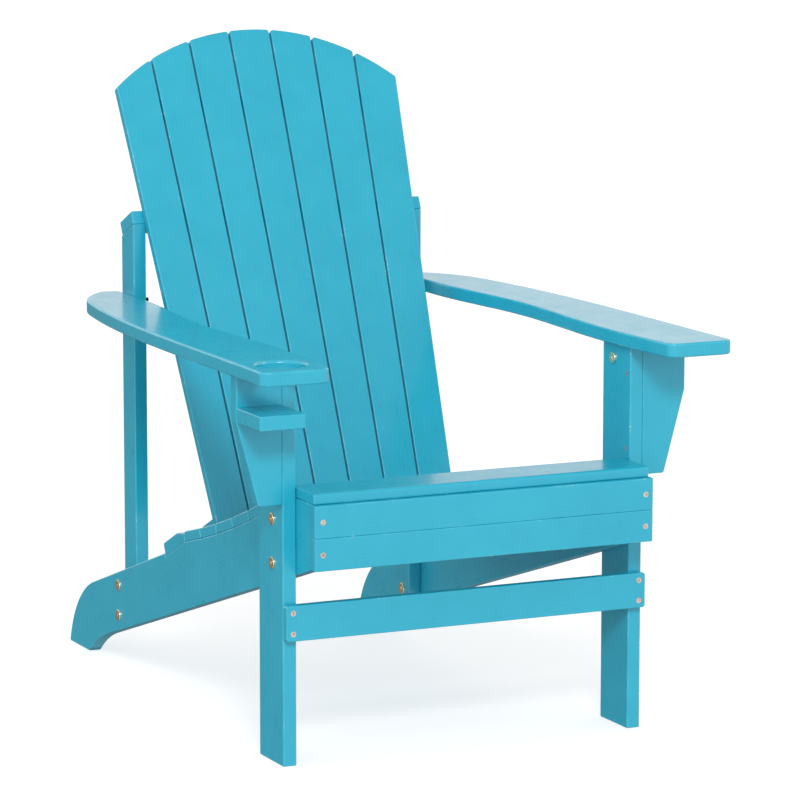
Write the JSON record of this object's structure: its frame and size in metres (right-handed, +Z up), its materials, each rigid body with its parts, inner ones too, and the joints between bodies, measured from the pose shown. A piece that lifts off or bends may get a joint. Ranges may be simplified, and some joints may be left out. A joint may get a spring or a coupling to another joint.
{
  "type": "adirondack chair",
  "caption": "Painted wooden garden chair with a reclined arched slat back, sloping slat seat, wide flat arms and a cup hole with a shelf under it.",
  "frame": {"origin": "on the ground, at the middle of the chair's overall width and length", "axes": "+Z up, +X to the chair's side without the cup hole, the chair's front faces -Y"},
  "size_m": [0.7102, 0.993, 0.9483],
  "materials": {
    "painted_wood": "turquoise semi-gloss paint over wood",
    "zinc_yellow": "yellow zinc plated steel, satin",
    "black_steel": "black zinc plated steel, satin",
    "screw_steel": "plated wood screw, dulled",
    "painted_steel": "wood screws painted over with the seat",
    "bare_wood": "unpainted hardwood dowel"
  },
  "bodies": {
    "root": {"front_leg_left": "painted_wood", "front_leg_right": "painted_wood", "stringer_left": "painted_wood", "stringer_right": "painted_wood", "rear_post_left": "painted_wood", "rear_post_right": "painted_wood", "apron_upper": "painted_wood", "apron_lower": "painted_wood", "front_stretcher": "painted_wood", "seat_slat_1": "painted_wood", "seat_slat_2": "painted_wood", "seat_slat_3": "painted_wood", "seat_slat_4": "painted_wood", "seat_slat_5": "painted_wood", "seat_slat_6": "painted_wood", "seat_slat_7": "painted_wood", "rear_ledge": "painted_wood", "back_slat_1": "painted_wood", "back_slat_2": "painted_wood", "back_slat_3": "painted_wood", "back_slat_4": "painted_wood", "back_slat_5": "painted_wood", "back_slat_6": "painted_wood", "back_slat_7": "painted_wood", "back_rail_upper": "painted_wood", "back_rail_middle": "painted_wood", "back_rail_lower": "painted_wood", "arm_left": "painted_wood", "arm_right": "painted_wood", "gusset_left": "painted_wood", "gusset_right": "painted_wood", "cup_shelf": "painted_wood", "arm_cleat_left": "painted_wood", "arm_cleat_right": "painted_wood", "leg_bolts": "zinc_yellow", "leg_nuts": "zinc_yellow", "post_bolts": "zinc_yellow", "post_nuts": "zinc_yellow", "cleat_bolts": "zinc_yellow", "cleat_nuts": "zinc_yellow", "arm_post_studs": "black_steel", "arm_post_nuts": "black_steel", "apron_screws": "screw_steel", "stretcher_screws": "screw_steel", "gusset_screws": "screw_steel", "rail_screws": "screw_steel", "arm_screws": "screw_steel", "cup_shelf_screws": "screw_steel", "seat_screws": "painted_steel", "ledge_screws": "painted_steel", "back_dowels": "bare_wood"}
  },
  "joints": []
}
